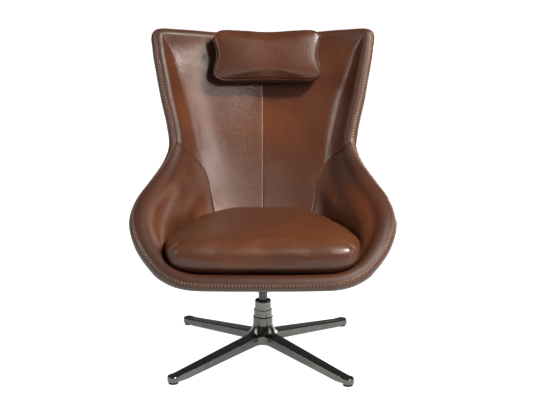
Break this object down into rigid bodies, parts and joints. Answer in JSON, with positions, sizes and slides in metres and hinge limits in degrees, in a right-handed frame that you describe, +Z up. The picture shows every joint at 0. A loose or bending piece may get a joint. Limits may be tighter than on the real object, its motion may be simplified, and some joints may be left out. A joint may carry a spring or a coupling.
{
  "type": "swivel recliner",
  "caption": "Upholstered tub swivel recliner with winged back, seat cushion, sliding head pillow and gas lift column on a star base.",
  "frame": {"origin": "on the floor, where the swivel axis meets it", "axes": "+Z up along the swivel axis, the sitter faces -Y, +X is at the right hand of someone who stands in front and looks at the chair"},
  "size_m": [0.7824, 0.744, 0.9756],
  "materials": {
    "base_metal": "dark satin metallic paint",
    "sleeve_metal": "satin grey metal",
    "black_tube": "black gloss tube",
    "black_plastic": "moulded black",
    "bright_steel": "ground bright",
    "bearing_brass": "plain",
    "spring_steel": "dark oiled",
    "zinc_steel": "zinc plated",
    "black_frame": "black powder coat",
    "bush_plastic": "natural",
    "glide_rubber": "moulded black",
    "shell_wood": "moulded laminate, unseen",
    "shell_leather": "glossy chestnut brown, fine grain",
    "lining_leather": "glossy chestnut brown, fine grain",
    "cushion_leather": "glossy chestnut brown, fine grain",
    "deck_fabric": "black lining cloth"
  },
  "bodies": {
    "base": {"star_base": "base_metal", "glide_front_left": "glide_rubber", "glide_front_right": "glide_rubber", "glide_back_left": "glide_rubber", "glide_back_right": "glide_rubber", "column_tube": "sleeve_metal", "collar_ring": "sleeve_metal", "column_bush": "black_plastic", "lower_race": "bright_steel", "ball_cage": "bearing_brass"},
    "spindle": {"piston_rod": "bright_steel", "upper_race": "bright_steel", "retaining_clip": "spring_steel"},
    "carriage": {"gas_cylinder": "black_tube", "tilt_housing": "black_frame", "tilt_pin": "bright_steel", "pin_clip": "spring_steel", "tilt_spring_left": "spring_steel", "tilt_spring_right": "spring_steel", "tension_washer": "bush_plastic", "lever_pin": "bright_steel", "clamp_bolt": "zinc_steel", "clamp_washer": "zinc_steel"},
    "button": {"release_button": "bright_steel"},
    "lever": {"height_lever": "black_frame", "lever_grip": "black_plastic"},
    "knob": {"tension_bolt": "zinc_steel", "tension_knob": "black_plastic"},
    "spring_carrier": {"spring_seat": "zinc_steel"},
    "lock": {"lock_lever": "black_plastic"},
    "seat": {"seat_plate": "black_frame", "pivot_bush_left": "bush_plastic", "pivot_bush_right": "bush_plastic", "plate_bolts": "zinc_steel", "tee_nuts": "zinc_steel", "shell_core": "shell_wood", "outer_cover": "shell_leather", "back_pad_left": "lining_leather", "back_pad_right": "lining_leather", "arm_pad": "lining_leather", "seat_deck": "deck_fabric", "seat_cushion": "cushion_leather", "pillow_strap": "shell_leather"},
    "pillow": {"head_pillow": "cushion_leather"},
    "weight": {"counterweight": "shell_leather"}
  },
  "joints": [
    {"name": "swivel", "type": "hinge", "parent": "base", "child": "spindle", "pos_m": [0, 0, 0], "axis": [0, 0, 1], "continuous": true},
    {"name": "height", "type": "slide", "parent": "spindle", "child": "carriage", "axis": [0, 0, 1], "range_m": [-0.025, 0.045]},
    {"name": "recline", "type": "hinge", "parent": "carriage", "child": "seat", "pos_m": [0, -0.08, 0.256], "axis": [-1, 0, 0], "range_deg": [0, 14], "stiffness_Nm_per_rad": 90, "springref_deg": -34.38, "deforming": ["tilt_spring_left", "tilt_spring_right"]},
    {"name": "height_lever", "type": "hinge", "parent": "carriage", "child": "lever", "pos_m": [-0.045, 0, 0.2553], "axis": [0, 1, 0], "range_deg": [0, 6], "stiffness_Nm_per_rad": 1, "springref_deg": -11.46},
    {"name": "button_press", "type": "slide", "parent": "carriage", "child": "button", "axis": [0, 0, -1], "range_m": [0, 0.0053]},
    {"name": "tension_knob", "type": "hinge", "parent": "carriage", "child": "knob", "pos_m": [0, 0.062, 0.2], "axis": [0, 0, 1], "range_deg": [0, 1080]},
    {"name": "spring_preload", "type": "slide", "parent": "carriage", "child": "spring_carrier", "axis": [0, 0, 1], "range_m": [0, 0.009], "deforming": ["tilt_spring_left", "tilt_spring_right"]},
    {"name": "tilt_lock", "type": "hinge", "parent": "carriage", "child": "lock", "pos_m": [0.0588, 0.02, 0.256], "axis": [1, 0, 0], "range_deg": [0, 60]},
    {"name": "pillow_slide", "type": "slide", "parent": "seat", "child": "pillow", "axis": [0, -0.2783, -0.9605], "range_m": [0, 0.09]},
    {"name": "counterweight_slide", "type": "slide", "parent": "seat", "child": "weight", "axis": [0, -0.2783, -0.9605], "range_m": [-0.09, 0]}
  ],
  "couplings": [
    {"joint": "button_press", "follows": "height_lever", "m_per_rad": 0.05},
    {"joint": "tension_knob", "follows": "spring_preload", "rad_per_m": 2094.4},
    {"joint": "counterweight_slide", "follows": "pillow_slide", "ratio": -1}
  ]
}
